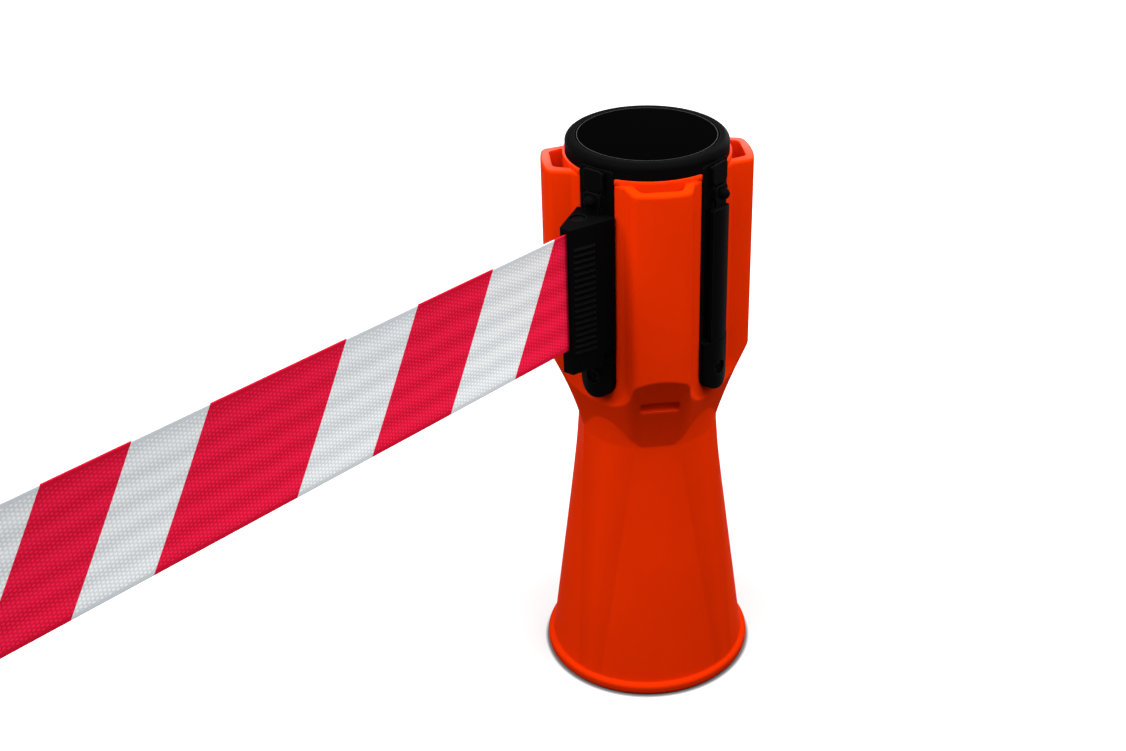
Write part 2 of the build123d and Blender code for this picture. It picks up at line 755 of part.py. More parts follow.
def make_mouth_block():
    """Wedge on the exit rail, hollow for the belt, the guide roller and its pin."""
    base_plane = upright_plane(on_circle(rail_face, exit_azimuth), on_circle(1.0, exit_azimuth))
    way_start = roller_foot - belt_way * roller_wrap / 2 + Vector(0, 0, slot_low_z)
    wedge = make_wedge(base_plane)
    bore = pin_bore(roller_centre, roller_pin_radius)
    with BuildPart() as mouth_block:
        add(wedge)
        # Way for the belt: slanted from the rail, round the roller, then straight out of the nose
        extrude(lead_slot(), amount=slot_height, mode=Mode.SUBTRACT)
        extrude(level_circle(slot_low_z, roller_centre, roller_radius + belt_gap), amount=slot_height,
                mode=Mode.SUBTRACT)
        with BuildSketch(upright_plane(way_start, belt_way)) as way:
            Rectangle(2 * wedge_depth, wedge_slot, align=(Align.MIN, Align.CENTER))
        extrude(way.sketch, amount=slot_height, mode=Mode.SUBTRACT)
        add(bore, mode=Mode.SUBTRACT)
        with BuildSketch(radial_plane(exit_azimuth, rail_face)) as screw_holes:
            with Locations(*mouth_screw_places()):
                Circle(mouth_screw_radius + seat_clearance)
        extrude(screw_holes.sketch, amount=mouth_screw_length, mode=Mode.SUBTRACT)
    return mouth_block.part


def make_mouth_screws():
    """Two screws from the back of the exit rail into the mouth block."""
    with BuildPart() as screws:
        with BuildSketch(radial_plane(exit_azimuth, rail_back)) as heads:
            with Locations(*mouth_screw_places()):
                Circle(mouth_screw_head)
        extrude(heads.sketch, amount=mouth_screw_head_thick)
        with BuildSketch(radial_plane(exit_azimuth, rail_back)) as shanks:
            with Locations(*mouth_screw_places()):
                Circle(mouth_screw_radius)
        extrude(shanks.sketch, amount=rail_thick + mouth_screw_length - belt_gap)
    return screws.part


def make_mouth_roller():
    """Sleeve on the mouth pin that the belt turns round."""
    low = slot_low_z + roller_end_gap
    with BuildPart() as roller:
        extrude(level_circle(low, roller_centre, roller_radius), amount=slot_height - 2 * roller_end_gap)
        extrude(level_circle(low, roller_centre, roller_pin_radius + running_clearance), amount=slot_height,
                mode=Mode.SUBTRACT)
    return roller.part


def make_end_clip():
    """Wedge at the belt's far end, with jaws that hook over a receiver rail's T-shaped rib."""
    slot_start = clip_plane.from_local_coords(Vector(clip_pin_local.X, 0, slot_low_z))
    loop_room = clip_loop_radius + belt_thick / 2 + belt_gap
    jaw_z = wedge_low_z + wedge_jaw_step
    lip_low = web_width / 2 + jaw_clearance
    lip_high = web_width / 2 + channel_width - jaw_clearance
    tee_near = web_height - jaw_gap - jaw_clearance
    tee_far = crown_height - jaw_gap + jaw_clearance
    wedge = make_wedge(clip_plane)
    bore = pin_bore(clip_pin_centre, clip_pin_radius)
    with BuildPart() as end_clip:
        add(wedge)
        for side in (-1, 1):
            with BuildSketch(clip_plane.offset(jaw_z)) as lip:
                with Locations((0, side * (lip_low + lip_high) / 2)):
                    Rectangle(2 * jaw_lip, lip_high - lip_low)
            extrude(lip.sketch, amount=wedge_high_z - jaw_z)
        with BuildSketch(clip_plane.offset(wedge_low_z)) as tee_room:
            Rectangle(2 * tee_near, web_width + 2 * jaw_clearance)
            with Locations(((tee_near + tee_far) / 2, 0)):
                Rectangle(tee_far - tee_near, tee_width + 2 * jaw_clearance)
        extrude(tee_room.sketch, amount=wedge_height, mode=Mode.SUBTRACT)
        extrude(level_circle(slot_low_z, clip_pin_centre, loop_room), amount=slot_height, mode=Mode.SUBTRACT)
        with BuildSketch(upright_plane(slot_start, -belt_way)) as way:
            Rectangle(2 * wedge_depth, wedge_slot, align=(Align.MIN, Align.CENTER))
        extrude(way.sketch, amount=slot_height, mode=Mode.SUBTRACT)
        add(bore, mode=Mode.SUBTRACT)
    return end_clip.part


def make_belt_tail():
    """Sewn end of the belt: a loop round the end clip's pin and the strip out to the clip's nose."""
    strip_start = clip_plane.from_local_coords(Vector(clip_pin_local.X, 0, belt_low_z))
    with BuildPart() as belt_tail:
        extrude(level_circle(belt_low_z, clip_pin_centre, clip_loop_radius + belt_thick / 2),
                amount=belt_width)
        with BuildSketch(upright_plane(strip_start, -belt_way)) as strip:
            Rectangle(wedge_depth - clip_pin_local.X, belt_thick, align=(Align.MIN, Align.CENTER))
        extrude(strip.sketch, amount=belt_width)
        extrude(level_circle(belt_low_z, clip_pin_centre, clip_loop_radius - belt_thick / 2),
                amount=belt_width, mode=Mode.SUBTRACT)
    return belt_tail.part


def make_belt_run():
    """Free stretch of belt between the mouth block and the end clip."""
    start = nose_point + belt_way * belt_end_gap + Vector(0, 0, belt_low_z)
    with BuildPart() as belt_run:
        with BuildSketch(upright_plane(start, belt_way)) as strip:
            Rectangle(belt_free_length - 2 * belt_end_gap, belt_thick, align=(Align.MIN, Align.CENTER))
        extrude(strip.sketch, amount=belt_width)
    return belt_run.part


def make_belt_lead():
    """Belt from the roll, round the guide roller and out to the mouth block's nose."""
    half = belt_thick / 2
    turn = (belt_side - lead_out).normalized()
    inner = roller_wrap - half
    outer = roller_wrap + half
    with BuildPart() as belt_lead:
        with BuildSketch(Plane.XY.offset(belt_low_z)) as strip:
            with BuildLine():
                Line(lead_start + lead_out * half, lead_end + lead_out * half)
                ThreePointArc(lead_end + lead_out * half, roller_centre + turn * inner,
                              roller_foot - belt_side * half)
                Polyline(roller_foot - belt_side * half, nose_point - belt_side * half,
                         nose_point + belt_side * half, roller_foot + belt_side * half)
                ThreePointArc(roller_foot + belt_side * half, roller_centre + turn * outer,
                              lead_end - lead_out * half)
                Polyline(lead_end - lead_out * half, lead_start - lead_out * half,
                         lead_start + lead_out * half)
            make_face()
        extrude(strip.sketch, amount=belt_width)
    return belt_lead.part


def make_belt_roll():
    """Belt wound on the hub."""
    with BuildPart() as belt_roll:
        extrude(level_ring(belt_low_z, roll_radius, hub_radius + seat_clearance), amount=belt_width)
    return belt_roll.part


def make_spool_hub():
    """Barrel that the belt winds on, with a spigot for a flange at each end."""
    barrel_z = spool_z + flange_thick
    barrel_length = upper_flange_z - barrel_z
    relief_z = spool_z + bush_length
    with BuildPart() as spool_hub:
        extrude(level_circle(spool_z, Vector(), spigot_radius), amount=case_z - spool_z)
        extrude(level_circle(barrel_z, Vector(), hub_radius), amount=barrel_length)
        extrude(level_circle(spool_z, Vector(), bush_radius + seat_clearance), amount=case_z - spool_z,
                mode=Mode.SUBTRACT)
        extrude(level_circle(relief_z, Vector(), hub_relief_radius),
                amount=case_z - spool_z - 2 * bush_length, mode=Mode.SUBTRACT)
        extrude(level_circle(upper_flange_z, anchor_place, anchor_pin_radius + seat_clearance),
                amount=belt_low_z - upper_flange_z, mode=Mode.SUBTRACT)
    return spool_hub.part


def make_anchor_pin():
    """Pin in the hub's wall that holds the belt's inner end."""
    with BuildPart() as anchor_pin:
        extrude(level_circle(belt_low_z, anchor_place, anchor_pin_radius), amount=belt_width)
    return anchor_pin.part


def make_flange(height):
    """Round flange on one of the hub's spigots."""
    with BuildPart() as flange:
        extrude(level_ring(height, flange_radius, spigot_radius + seat_clearance), amount=flange_thick)
    return flange.part


def make_bush(height):
    """Plain bearing bush between the spindle and the hub."""
    with BuildPart() as bush:
        extrude(level_ring(height, bush_radius, spindle_radius + running_clearance), amount=bush_length)
    return bush.part


def make_spring_case():
    """Cup on the spool's upper flange that holds the retraction spring."""
    with BuildPart() as spring_case:
        extrude(level_ring(case_z, case_outer, bush_radius), amount=case_top_z - case_z)
        extrude(level_circle(case_z + case_floor, Vector(), case_inner), amount=case_top_z - case_z,
                mode=Mode.SUBTRACT)
    return spring_case.part


def make_retraction_spring():
    """Flat spiral strip: half turns about two centres, each half a pitch larger than the last."""
    step = spring_pitch / 2
    first = spindle_radius + belt_gap
    room = case_inner - belt_gap - first - spring_strip - step
    half_turns = int(room / step)
    with BuildPart() as spring:
        with BuildSketch(Plane.XY.offset(spring_z)) as strip:
            with BuildLine():
                for turn in range(half_turns):
                    centre = (step * (turn % 2), 0)
                    CenterArc(centre, first + turn * step, 180 * (turn % 2), 180)
                    CenterArc(centre, first + turn * step + spring_strip, 180 * (turn % 2), 180)
                last = first + half_turns * step - step
                far = step * ((half_turns - 1) % 2)
                side = 1 if half_turns % 2 == 0 else -1
                Line((first, 0), (first + spring_strip, 0))
                Line((far + side * last, 0), (far + side * (last + spring_strip), 0))
            make_face()
        extrude(strip.sketch, amount=spring_width)
    print("spring half turns", half_turns, "gap between turns", spring_pitch - spring_strip)
    return spring.part


def make_spindle():
    """Fixed steel spindle, with a groove at its top for the retaining clip."""
    low = floor_z - spindle_foot
    with BuildPart() as spindle:
        extrude(level_circle(low, Vector(), spindle_radius), amount=spindle_top_z - low)
        extrude(level_ring(lid_top_z, 2 * spindle_radius, spindle_radius - spindle_clip_groove),
                amount=spindle_clip_thick, mode=Mode.SUBTRACT)
    return spindle.part


def make_spindle_clip():
    """Retaining clip that sits in the spindle's groove on the cassette lid, open at one side."""
    inner = spindle_radius - spindle_clip_groove + seat_clearance
    with BuildPart() as clip:
        with BuildSketch(Plane.XY.offset(lid_top_z)) as ring:
            Circle(spindle_clip_radius)
            Circle(inner, mode=Mode.SUBTRACT)
            Rectangle(2 * spindle_clip_radius, 2 * inner, align=(Align.MIN, Align.CENTER), mode=Mode.SUBTRACT)
        extrude(ring.sketch, amount=spindle_clip_thick)
    return clip.part


def make_cassette_base():
    """Plate on the chamber's floor, with a boss under the spool."""
    top = floor_z + cassette_plate
    with BuildPart() as base:
        extrude(level_circle(floor_z, Vector(), cassette_outer), amount=cassette_plate)
        extrude(level_circle(top, Vector(), cassette_boss_radius), amount=cassette_boss_height)
        extrude(level_circle(floor_z, Vector(), spindle_radius + seat_clearance), amount=boss_z - floor_z,
                mode=Mode.SUBTRACT)
        with BuildSketch(Plane.XY.offset(floor_z)) as holes:
            with PolarLocations(cassette_screw_circle, cassette_screw_count, cassette_screw_start):
                Circle(cassette_screw_radius + seat_clearance)
        extrude(holes.sketch, amount=cassette_plate, mode=Mode.SUBTRACT)
    return base.part


def make_cassette_screws():
    """Screws that hold the cassette down on the chamber's floor."""
    top = floor_z + cassette_plate
    with BuildPart() as screws:
        with BuildSketch(Plane.XY.offset(top)) as heads:
            with PolarLocations(cassette_screw_circle, cassette_screw_count, cassette_screw_start):
                Circle(cassette_screw_head)
        extrude(heads.sketch, amount=cassette_screw_head_thick)
        with BuildSketch(Plane.XY.offset(top)) as shanks:
            with PolarLocations(cassette_screw_circle, cassette_screw_count, cassette_screw_start):
                Circle(cassette_screw_radius)
        extrude(shanks.sketch, amount=-cassette_screw_length)
    return screws.part


def make_cassette_wall():
    """Drum round the spool, with a slot where the belt leaves."""
    low = floor_z + cassette_plate
    with BuildPart() as wall:
        extrude(level_ring(low, cassette_outer, cassette_inner), amount=lid_z - low)
        extrude(lead_slot(), amount=slot_height, mode=Mode.SUBTRACT)
    return wall.part


def make_cassette_lid():
    """Plate that closes the cassette and steadies the spindle's top."""
    with BuildPart() as lid:
        extrude(level_ring(lid_z, cassette_outer, spindle_radius + seat_clearance), amount=cassette_lid_thick)
    return lid.part


def make_cap():
    """Black cap with a rounded top edge, a plug that centres it and a seat for the blank disc."""
    plug_radius = chamber_radius - plug_gap
    top = seat_z + cap_height
    low = seat_z - plug_depth
    with BuildPart() as cap:
        extrude(level_circle(seat_z, Vector(), cap_radius), amount=cap_height)
        fillet(cap.faces().sort_by(Axis.Z)[-1].edges(), cap_round)
        extrude(level_circle(low, Vector(), plug_radius), amount=plug_depth)
        extrude(level_circle(low, Vector(), plug_radius - plug_wall), amount=top - cap_top_thick - low,
                mode=Mode.SUBTRACT)
        extrude(level_circle(top, Vector(), disc_radius + disc_gap), amount=-disc_thick, mode=Mode.SUBTRACT)
        # Notches that take the tops of the four rails
        for azimuth in rail_azimuths.values():
            extrude(rail_outline(radial_plane(azimuth, groove_radius), rail_gap), amount=lobe_stand,
                    mode=Mode.SUBTRACT)
    return cap.part


def make_label_disc():
    """Blank disc set flush in the cap's top."""
    with BuildPart() as disc:
        extrude(level_circle(seat_z + cap_height, Vector(), disc_radius), amount=-disc_thick)
    return disc.part


pieces = {
    "body_shell": make_body(),
    "cap": make_cap(),
    "label_disc": make_label_disc(),
    "rail_screws": make_rail_screws(),
    "mouth_block": make_mouth_block(),
    "mouth_roller": make_mouth_roller(),
    "mouth_pin": make_wedge_pin(roller_centre, roller_pin_radius),
    "mouth_screws": make_mouth_screws(),
    "cassette_base": make_cassette_base(),
    "cassette_wall": make_cassette_wall(),
    "cassette_lid": make_cassette_lid(),
    "cassette_screws": make_cassette_screws(),
    "spindle": make_spindle(),
    "spindle_clip": make_spindle_clip(),
    "spool_hub": make_spool_hub(),
    "spool_lower_flange": make_flange(spool_z),
    "spool_upper_flange": make_flange(upper_flange_z),
    "lower_bush": make_bush(spool_z),
    "upper_bush": make_bush(case_z - bush_length),
    "belt_anchor_pin": make_anchor_pin(),
    "spring_case": make_spring_case(),
    "retraction_spring": make_retraction_spring(),
    "belt_roll": make_belt_roll(),
    "belt_lead": make_belt_lead(),
    "belt_run": make_belt_run(),
    "belt_tail": make_belt_tail(),
    "end_clip": make_end_clip(),
    "end_clip_pin": make_wedge_pin(clip_pin_centre, clip_pin_radius),
}
for side, azimuth in rail_azimuths.items():
    pieces[side + "_rail"] = make_rail(azimuth, azimuth == exit_azimuth)
    pieces[side + "_catch"] = make_catch(azimuth)
    pieces[side + "_catch_spring"] = make_catch_spring(azimuth)

os.makedirs("parts", exist_ok=True)
for label, piece in pieces.items():
    piece.label = label
    export_step(piece, f"parts/{label}.step")
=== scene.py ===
import json
import math

import bmesh
import bpy
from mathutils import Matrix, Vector
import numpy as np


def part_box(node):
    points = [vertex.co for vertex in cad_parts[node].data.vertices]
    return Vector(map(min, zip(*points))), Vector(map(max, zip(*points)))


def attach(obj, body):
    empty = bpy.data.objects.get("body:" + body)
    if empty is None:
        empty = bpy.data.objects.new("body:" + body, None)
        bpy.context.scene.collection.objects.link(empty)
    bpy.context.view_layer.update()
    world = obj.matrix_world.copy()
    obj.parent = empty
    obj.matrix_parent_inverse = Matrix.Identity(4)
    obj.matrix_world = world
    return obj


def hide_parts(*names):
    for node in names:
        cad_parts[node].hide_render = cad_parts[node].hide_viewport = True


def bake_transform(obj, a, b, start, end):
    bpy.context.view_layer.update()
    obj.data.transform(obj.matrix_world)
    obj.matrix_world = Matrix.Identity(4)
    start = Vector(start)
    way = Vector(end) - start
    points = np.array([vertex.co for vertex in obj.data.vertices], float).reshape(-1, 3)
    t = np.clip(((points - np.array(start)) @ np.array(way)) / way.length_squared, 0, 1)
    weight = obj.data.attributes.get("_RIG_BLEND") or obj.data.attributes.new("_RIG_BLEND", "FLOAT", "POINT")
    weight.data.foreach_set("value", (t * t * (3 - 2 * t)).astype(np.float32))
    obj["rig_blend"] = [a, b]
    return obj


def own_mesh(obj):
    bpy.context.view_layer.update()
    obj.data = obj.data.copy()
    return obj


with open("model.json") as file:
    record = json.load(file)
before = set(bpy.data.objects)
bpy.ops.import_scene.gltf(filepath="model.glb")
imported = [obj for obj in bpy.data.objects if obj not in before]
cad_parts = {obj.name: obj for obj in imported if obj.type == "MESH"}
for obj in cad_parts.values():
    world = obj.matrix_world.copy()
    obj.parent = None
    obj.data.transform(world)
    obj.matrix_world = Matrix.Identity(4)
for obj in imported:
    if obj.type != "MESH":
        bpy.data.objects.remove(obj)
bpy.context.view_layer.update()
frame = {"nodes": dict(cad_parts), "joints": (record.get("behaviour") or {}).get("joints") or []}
nodes = frame["nodes"]
joints = {joint["name"]: joint for joint in frame["joints"]}
scene = bpy.context.scene

# The camera, as it stood for the photograph: metres, degrees, and pixels of the 1126 x 751 frame
photo_width = 1126
photo_height = 751
focal_length_px = 1690
optical_axis_px = (647, 381)
camera_place = Vector((-0.4977, -0.3690, 0.4928))
camera_heading = math.radians(36.56)
camera_pitch = math.radians(30.1)
sensor_width_mm = 36.0
nearest_seen = 0.01

# The belt: metres
belt_thick = 0.0006
belt_gap = 0.0003
belt_free_length = 0.255
selvage_width = 0.0016
selvage_step = 0.0003
belt_way = Vector(joints["belt_draw"]["axis"])
belt_side = Vector((-belt_way.y, belt_way.x, 0))
belt_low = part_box("belt_run")[0].z
belt_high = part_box("belt_run")[1].z
belt_width = belt_high - belt_low
belt_middle = (belt_low + belt_high) / 2
nose = Vector((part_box("mouth_block")[0].x, 0, 0))
clip_nose = nose + belt_way * belt_free_length
pin_wrap = math.radians(320)
wound_length = 2.0
wound_thick = 0.00055

# The belt's section, as shares of half its thickness
field_share = 0.84
tip_share = 0.5
tip_rise = 0.7

# Steps along the belt: one straight step in metres, and how many on a bend or a turn
run_step = 0.004
roller_steps = 10
pin_steps = 24
wound_steps = 40

# The catches' coil springs: metres
spring_wire = 0.0004
spring_turns = 3.5
coil_steps = 24
wire_sides = 8
catch_sides = {"exit": Vector((-1, 0, 0)), "front": Vector((0, -1, 0)),
               "right": Vector((1, 0, 0)), "rear": Vector((0, 1, 0))}

# Edges that turn by less than this are shaded smooth
smooth_angle = math.radians(35)

# Stripes along the belt's top edge, starting with a red one before the nose: metres
stripe_start = -0.031
stripe_widths = (0.0362, 0.0327, 0.0366, 0.0322, 0.0551, 0.0295, 0.0307, 0.0320)
stripe_slant = 0.023
stripe_slant_growth = 0.035

# The belt's weave: dots in columns, and slow bands across them that waver
weave_along = 0.0029
weave_across = 0.0015
weave_band = 0.0093
weave_depth = 0.0001
weave_strength = 0.35
column_share = 0.35
band_share = 0.17
band_waver = 2.5
waver_scale = 60.0
selvage_blur = 0.0004
belt_roughness = 0.75
belt_specular = 0.05

# The skirt's four flat panels, narrow at the neck and wide at the foot, and the bead round it: metres
skirt_height = 0.1185
panel_foot_half = 0.0264
panel_neck_half = 0.0090
panel_edge = (-0.0003, 0.0006)
panel_top = (skirt_height - 0.003, skirt_height)
panel_ways = (Vector((1, 1, 0)).normalized(), Vector((1, -1, 0)).normalized())
bead_top = (0.0054, 0.0064)
foot_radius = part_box("body_shell")[1].x

# Colours, as linear light
white = (1, 1, 1, 1)
orange = (0.72, 0.0265, 0.0004, 1)
orange_dark = (0.685, 0.0247, 0.0003, 1)
# Paler colour mixed in along the orange edges: a painted highlight
orange_edge_highlight = (0.88, 0.050, 0.012, 1)
# Pale pinkish colour on level faces on the far side: a painted sheen
orange_painted_sheen = (0.88, 0.110, 0.080, 1)
# Darker orange beside the skirt's panels and on the foot's bead: painted shade
orange_painted_shade = (0.54, 0.0196, 0.0003, 1)
black = (0.0018, 0.0018, 0.0019, 1)
# Paler colour mixed in along the black edges: a painted highlight
black_edge_highlight = (0.0160, 0.0160, 0.0165, 1)
disc_black = (0.0002, 0.0002, 0.0002, 1)
ring_grey = (0.06, 0.06, 0.06, 1)
belt_red = (0.98, 0.015, 0.072, 1)
belt_red_dark = (0.58, 0.004, 0.028, 1)
belt_white = (0.96, 0.99, 1.0, 1)
belt_white_dark = (0.60, 0.64, 0.67, 1)
screw_black = (0.004, 0.004, 0.0042, 1)
screw_black_dark = (0.002, 0.002, 0.002, 1)
steel = (0.58, 0.58, 0.59, 1)
steel_dark = (0.40, 0.39, 0.38, 1)
bronze = (0.50, 0.31, 0.13, 1)
bronze_dark = (0.28, 0.17, 0.08, 1)
nylon = (0.72, 0.70, 0.64, 1)
nylon_dark = (0.66, 0.63, 0.56, 1)
# Paler colour mixed in along the nylon edges: a painted highlight
nylon_edge_highlight = (0.80, 0.79, 0.75, 1)

# Moulded plastic: noises in blobs to a metre, the part of their range that is used, and its strength
noise_range = (0.3, 0.7)
drift_scale = 28.0
drift_range = (0.35, 0.65)
speck_scale_share = 0.6
speck_range = (0.62, 0.75)
speck_share = 0.25
grain_roughness = 0.06
bevel_samples = 6
edge_lean = (1.0, 0.80)

# Painted tones of the shell: painted shade beside the panels and on the bead, and a painted sheen (a pale
# reflection) on level faces on its far side
flank_shade_share = 0.36
flank_shade_reach = 0.9
bead_shade_share = 0.60
sheen_lean = (0.75, 0.97)
sheen_share = 0.75
sheen_way = panel_ways[0]
sheen_reach = (-0.016, 0.003)

# The blank disc: metres, and noises in blobs to a metre
disc_line_inset = 0.0007
disc_line_edge = (0.00005, 0.00012)
disc_haze_scale = 220.0
disc_roughness = (0.22, 0.34)
disc_grain_scale = 900.0
disc_grain_depth = 0.00001
disc_specular = 0.0006

# Turned metal: metres, and noises in blobs to a metre
turning_stretch = (1, 1, 9)
turning_scale = 700.0
turning_depth = 0.00002
turning_roughness = 0.15
stain_scale = 160.0
stain_range = (0.4, 0.65)
metal_edge_radius = 0.0002
metal_edge_share = 0.5

# The floor and the light round the object: metres, and strengths where 1 is white
floor_half = 6.0
floor_roughness = 0.9
floor_pale = (0.40, 0.40, 0.40, 1)
floor_dim = (0.12, 0.12, 0.12, 1)
# Dark ring just round the foot, painted on the floor: a painted contact shadow
floor_painted_shadow = (0.16, 0.16, 0.17, 1)
floor_glow_near = 0.42
floor_glow_far = 1.0
shadow_reach = (0.06, 0.26)
painted_shadow_reach = (foot_radius + 0.0004, foot_radius + 0.0017)
ambient = 0.06
object_middle = Vector((0, 0, 0.15))
belt_and_skirt = Vector((-0.05, -0.03, 0.10))


def new_material(name):
    """Makes a material and gives it with its node tree and shader."""
    made = bpy.data.materials.new(name)
    made.use_nodes = True
    return made, made.node_tree, made.node_tree.nodes["Principled BSDF"]


def set_inputs(tree, node, inputs):
    """Links the inputs of a node that are given a socket, and sets those given a plain value."""
    for key, value in inputs.items():
        if isinstance(value, bpy.types.NodeSocket):
            tree.links.new(value, node.inputs[key])
        else:
            node.inputs[key].default_value = value


def add_node(tree, kind, inputs=None, **settings):
    """Adds a node, sets its properties, and sets or links its inputs."""
    node = tree.nodes.new(kind)
    for key, value in settings.items():
        setattr(node, key, value)
    set_inputs(tree, node, inputs or {})
    return node


def calc(tree, operation, *values):
    """Result of one math operation on numbers or sockets."""
    return add_node(tree, "ShaderNodeMath", dict(enumerate(values)), operation=operation).outputs[0]


def vector_calc(tree, operation, *vectors):
    """Result of one vector operation: a number for a dot product or a length, and else a vector."""
    node = add_node(tree, "ShaderNodeVectorMath", dict(enumerate(vectors)), operation=operation)
    return node.outputs["Value" if operation in ("DOT_PRODUCT", "LENGTH") else "Vector"]


def upward(tree, vector):
    """Upward part of a vector."""
    return add_node(tree, "ShaderNodeSeparateXYZ", {0: vector}).outputs["Z"]


def mix_colour(tree, share, first, second):
    """Mix of two colours by a share from 0 to 1."""
    node = add_node(tree, "ShaderNodeMix", {0: share, 6: first, 7: second}, data_type="RGBA")
    return node.outputs[2]


def spread(tree, value, low, high, new_low, new_high):
    """Value moved from one range to another and kept inside it."""
    inputs = {0: value, 1: low, 2: high, 3: new_low, 4: new_high}
    return add_node(tree, "ShaderNodeMapRange", inputs).outputs[0]


def noise(tree, place, scale, detail=2.0):
    """Smooth random value, about one blob for each 1 / scale metres."""
    inputs = {"Vector": place, "Scale": scale, "Detail": detail}
    return add_node(tree, "ShaderNodeTexNoise", inputs).outputs[0]


def object_place(tree):
    """Place on the object, in the row frame."""
    return add_node(tree, "ShaderNodeTexCoord").outputs["Object"]


def face_normal(tree):
    """Way that the surface faces."""
    return add_node(tree, "ShaderNodeNewGeometry").outputs["Normal"]


def rounded_normal(tree, radius):
    """Normal that rolls over the edges, and how far it leans from the face there."""
    rounded = add_node(tree, "ShaderNodeBevel", {"Radius": radius}, samples=bevel_samples).outputs[0]
    lean = vector_calc(tree, "DOT_PRODUCT", rounded, face_normal(tree))
    return rounded, spread(tree, lean, *edge_lean, 0.0, 1.0)


def painted_shade_tone(tree, place):
    """Share of the painted shade on the foot's bead and beside each flat panel, strongest at its edge."""
    height = upward(tree, place)
    first, second = (calc(tree, "ABSOLUTE", vector_calc(tree, "DOT_PRODUCT", place, way))
                     for way in panel_ways)
    along = calc(tree, "MAXIMUM", first, second)
    aside = calc(tree, "MINIMUM", first, second)
    half = spread(tree, height, 0.0, skirt_height, panel_foot_half, panel_neck_half)
    beside = calc(tree, "SUBTRACT", aside, half)
    share = calc(tree, "DIVIDE", beside, calc(tree, "SUBTRACT", along, half))
    tone = calc(tree, "MULTIPLY", spread(tree, beside, *panel_edge, 0.0, flank_shade_share),
                spread(tree, share, 0.0, flank_shade_reach, 1.0, 0.0))
    tone = calc(tree, "MULTIPLY", tone, spread(tree, height, *panel_top, 1.0, 0.0))
    return calc(tree, "MAXIMUM", tone, spread(tree, height, *bead_top, bead_shade_share, 0.0))


def sheen_tone(tree, place):
    """Share of the painted sheen, a pale reflection: on level faces, high up and on the far side."""
    level = spread(tree, upward(tree, face_normal(tree)), *sheen_lean, 0.0, sheen_share)
    toward = vector_calc(tree, "DOT_PRODUCT", place, sheen_way)
    far_side = spread(tree, toward, *sheen_reach, 0.0, 1.0)
    raised = spread(tree, upward(tree, place), 0.0, skirt_height, 0.0, 1.0)
    return calc(tree, "MULTIPLY", level, calc(tree, "MULTIPLY", far_side, raised))


def moulded(name, base, dark, pale, roughness, grain_scale, grain_depth, edge_radius, specular,
            edge_highlight_share=0.18, painted_sheen=None, painted_shade=None):
    """Moulded plastic: slow colour drift, a fine spark-eroded grain and soft edges with a painted highlight,
    plus a painted sheen and painted shade when given.
    """
    made, tree, shader = new_material(name)
    place = object_place(tree)
    drift = spread(tree, noise(tree, place, drift_scale, detail=3.0), *drift_range, 0.0, 1.0)
    grain = noise(tree, place, grain_scale, detail=3.0)
    smooth, edge = rounded_normal(tree, edge_radius)
    colour = mix_colour(tree, drift, dark, base)
    # Paler colour along the edges: a painted highlight where the edges would catch the light
    colour = mix_colour(tree, calc(tree, "MULTIPLY", edge, edge_highlight_share), colour, pale)
    # Painted sheen: a pale reflection painted on level faces on the far side
    if painted_sheen:
        colour = mix_colour(tree, sheen_tone(tree, place), colour, painted_sheen)
    # Painted shade beside the skirt's panels and on the foot's bead
    if painted_shade:
        colour = mix_colour(tree, painted_shade_tone(tree, place), colour, painted_shade)
    flecks = noise(tree, place, grain_scale * speck_scale_share, detail=1.0)
    speck = spread(tree, flecks, *speck_range, 0.0, speck_share)
    uneven = spread(tree, grain, *noise_range, -grain_roughness, grain_roughness)
    bump = add_node(tree, "ShaderNodeBump", {"Height": grain, "Normal": smooth, "Distance": grain_depth})
    set_inputs(tree, shader, {
        "Base Color": mix_colour(tree, speck, colour, dark),
        "Roughness": calc(tree, "ADD", uneven, roughness),
        "Normal": bump.outputs[0],
        "Specular IOR Level": specular,
    })
    return made


def blank_disc():
    """Smooth black disc with one thin pale line printed just inside its edge."""
    made, tree, shader = new_material("blank_disc")
    place = object_place(tree)
    radius = vector_calc(tree, "LENGTH", vector_calc(tree, "MULTIPLY", place, (1, 1, 0)))
    line_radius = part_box("label_disc")[1].x - disc_line_inset
    off_line = calc(tree, "ABSOLUTE", calc(tree, "SUBTRACT", radius, line_radius))
    line = spread(tree, off_line, *disc_line_edge, 1.0, 0.0)
    haze = noise(tree, place, disc_haze_scale, detail=4.0)
    grain = noise(tree, place, disc_grain_scale)
    bump = add_node(tree, "ShaderNodeBump", {"Height": grain, "Distance": disc_grain_depth})
    set_inputs(tree, shader, {
        "Base Color": mix_colour(tree, line, disc_black, ring_grey),
        "Roughness": spread(tree, haze, *noise_range, *disc_roughness),
        "Normal": bump.outputs[0],
        "Specular IOR Level": disc_specular,
    })
    return made


def turned_metal(name, colour, dark, roughness, metallic=1.0, specular=0.5):
    """Plain or blackened metal with fine turning lines and a little stain."""
    made, tree, shader = new_material(name)
    place = object_place(tree)
    streak = noise(tree, vector_calc(tree, "MULTIPLY", place, turning_stretch), turning_scale, detail=4.0)
    stain = spread(tree, noise(tree, place, stain_scale, detail=3.0), *stain_range, 0.0, 1.0)
    smooth, edge = rounded_normal(tree, metal_edge_radius)
    base = mix_colour(tree, stain, colour, dark)
    bump = add_node(tree, "ShaderNodeBump", {"Height": streak, "Normal": smooth, "Distance": turning_depth})
    set_inputs(tree, shader, {
        "Base Color": mix_colour(tree, calc(tree, "MULTIPLY", edge, metal_edge_share), base, colour),
        "Roughness": spread(tree, streak, *noise_range, roughness, roughness + turning_roughness),
        "Normal": bump.outputs[0],
        "Metallic": metallic,
        "Specular IOR Level": specular,
    })
    return made


